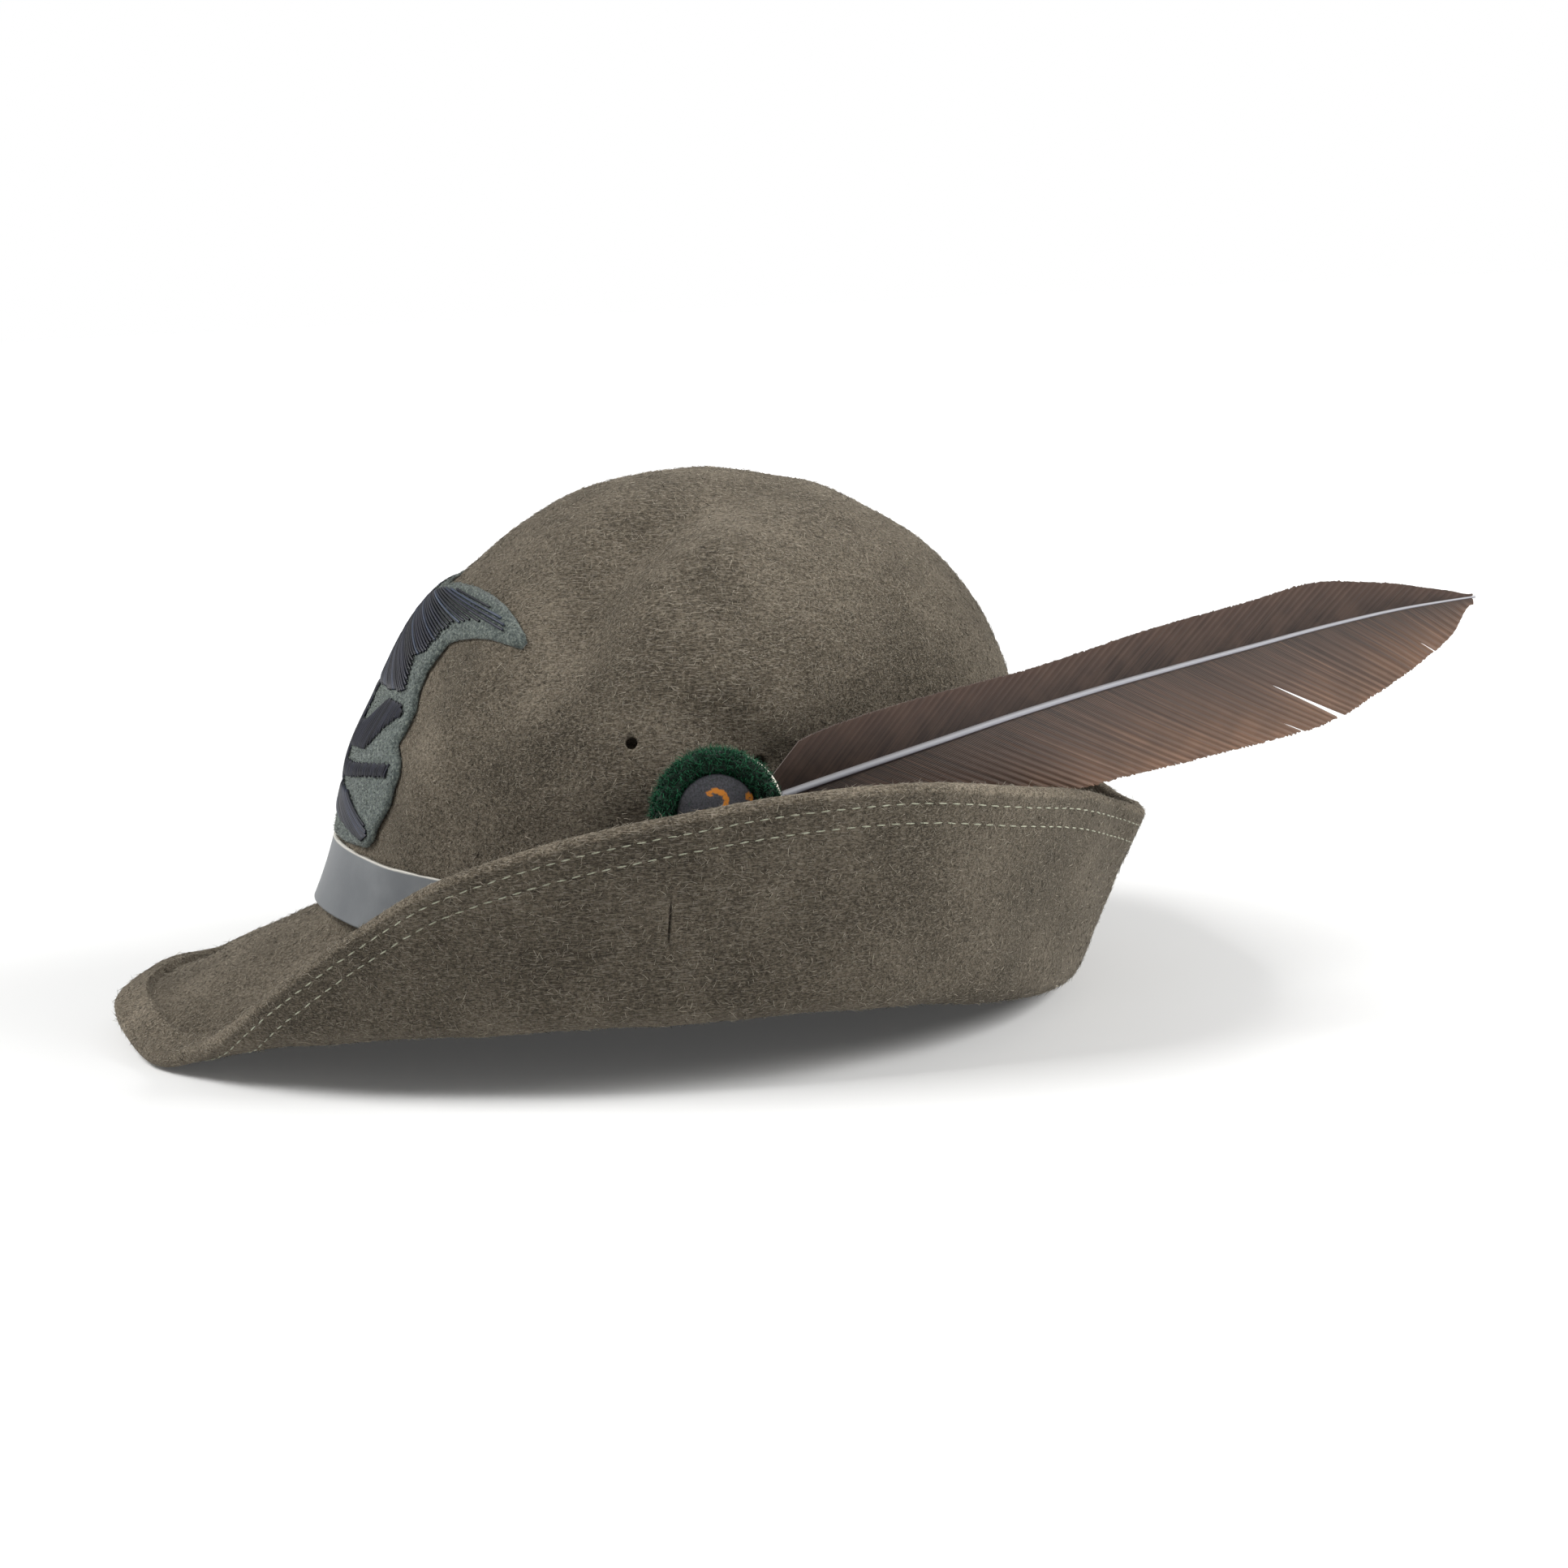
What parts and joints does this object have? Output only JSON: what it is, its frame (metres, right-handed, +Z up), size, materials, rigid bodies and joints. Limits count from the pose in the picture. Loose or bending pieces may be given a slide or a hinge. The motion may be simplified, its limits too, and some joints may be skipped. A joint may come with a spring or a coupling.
{
  "type": "mountain troops felt hat",
  "caption": "Felt hat with a round crown, a brim turned up at the back and down at the peak, a leather band, an embroidered cloth badge, a pompom and a long feather.",
  "frame": {"origin": "middle of the bounding box on the surface the hat rests on", "axes": "+Z up, -Y to the front of the hat (its peak), +X to the wearer's left (pompom and feather)"},
  "size_m": [0.222, 0.416, 0.1635],
  "materials": {
    "felt": "matt brown-grey hair felt with pale loose fibres",
    "leather": "smooth grey leather with a pale raw upper edge",
    "badge_cloth": "grey-green felted cloth",
    "embroidery_thread": "dark blue-black satin stitch",
    "quill": "dull grey horn with a darker groove",
    "vane": "satiny brown barbs",
    "sleeve_metal": "plain, hidden behind the pompom",
    "pompom_wool": "dark green wool pile",
    "disc_enamel": "dark grey, worn, with traces of orange",
    "plate_metal": "pale dull metal"
  },
  "bodies": {
    "root": {"felt_body": "felt", "hat_band": "leather", "badge_backing": "badge_cloth", "badge_embroidery": "embroidery_thread", "feather_quill": "quill", "feather_vane_upper": "vane", "feather_vane_lower": "vane", "quill_sleeve": "sleeve_metal", "pompom_wool": "pompom_wool", "pompom_disc": "disc_enamel", "pompom_plate": "plate_metal"}
  },
  "joints": []
}
